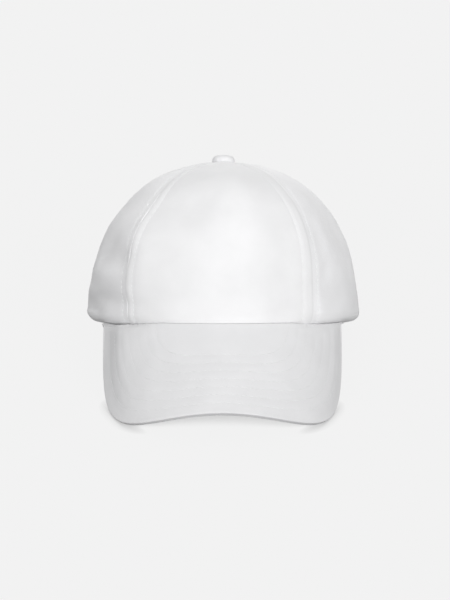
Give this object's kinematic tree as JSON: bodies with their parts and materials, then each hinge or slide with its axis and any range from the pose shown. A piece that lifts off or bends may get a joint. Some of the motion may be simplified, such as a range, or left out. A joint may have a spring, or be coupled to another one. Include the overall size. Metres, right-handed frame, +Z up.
{
  "type": "baseball cap",
  "caption": "Plain cloth baseball cap with a seamed domed crown, covered button, stitched rolled peak and an adjustable strap under an arched opening at the back.",
  "frame": {"origin": "centre of the cap's box, on the surface that it rests on", "axes": "+X towards the wearer's left, +Y towards the back of the head, +Z up; the peak points to -Y"},
  "size_m": [0.1788, 0.2566, 0.1266],
  "materials": {
    "crown_cloth": "white cotton twill, matt",
    "button_cloth": "white cotton twill over a button, matt",
    "peak_cloth": "white cotton twill in stitched rows, matt",
    "band_cloth": "white cotton band, matt",
    "strap_cloth": "white cotton strap with a hook and loop closure, matt"
  },
  "bodies": {
    "root": {"front_panel": "crown_cloth", "side_panel_left": "crown_cloth", "side_panel_right": "crown_cloth", "back_panel_left": "crown_cloth", "back_panel_right": "crown_cloth", "button": "button_cloth", "peak": "peak_cloth", "sweatband": "band_cloth", "strap_left": "strap_cloth", "strap_right": "strap_cloth"}
  },
  "joints": []
}
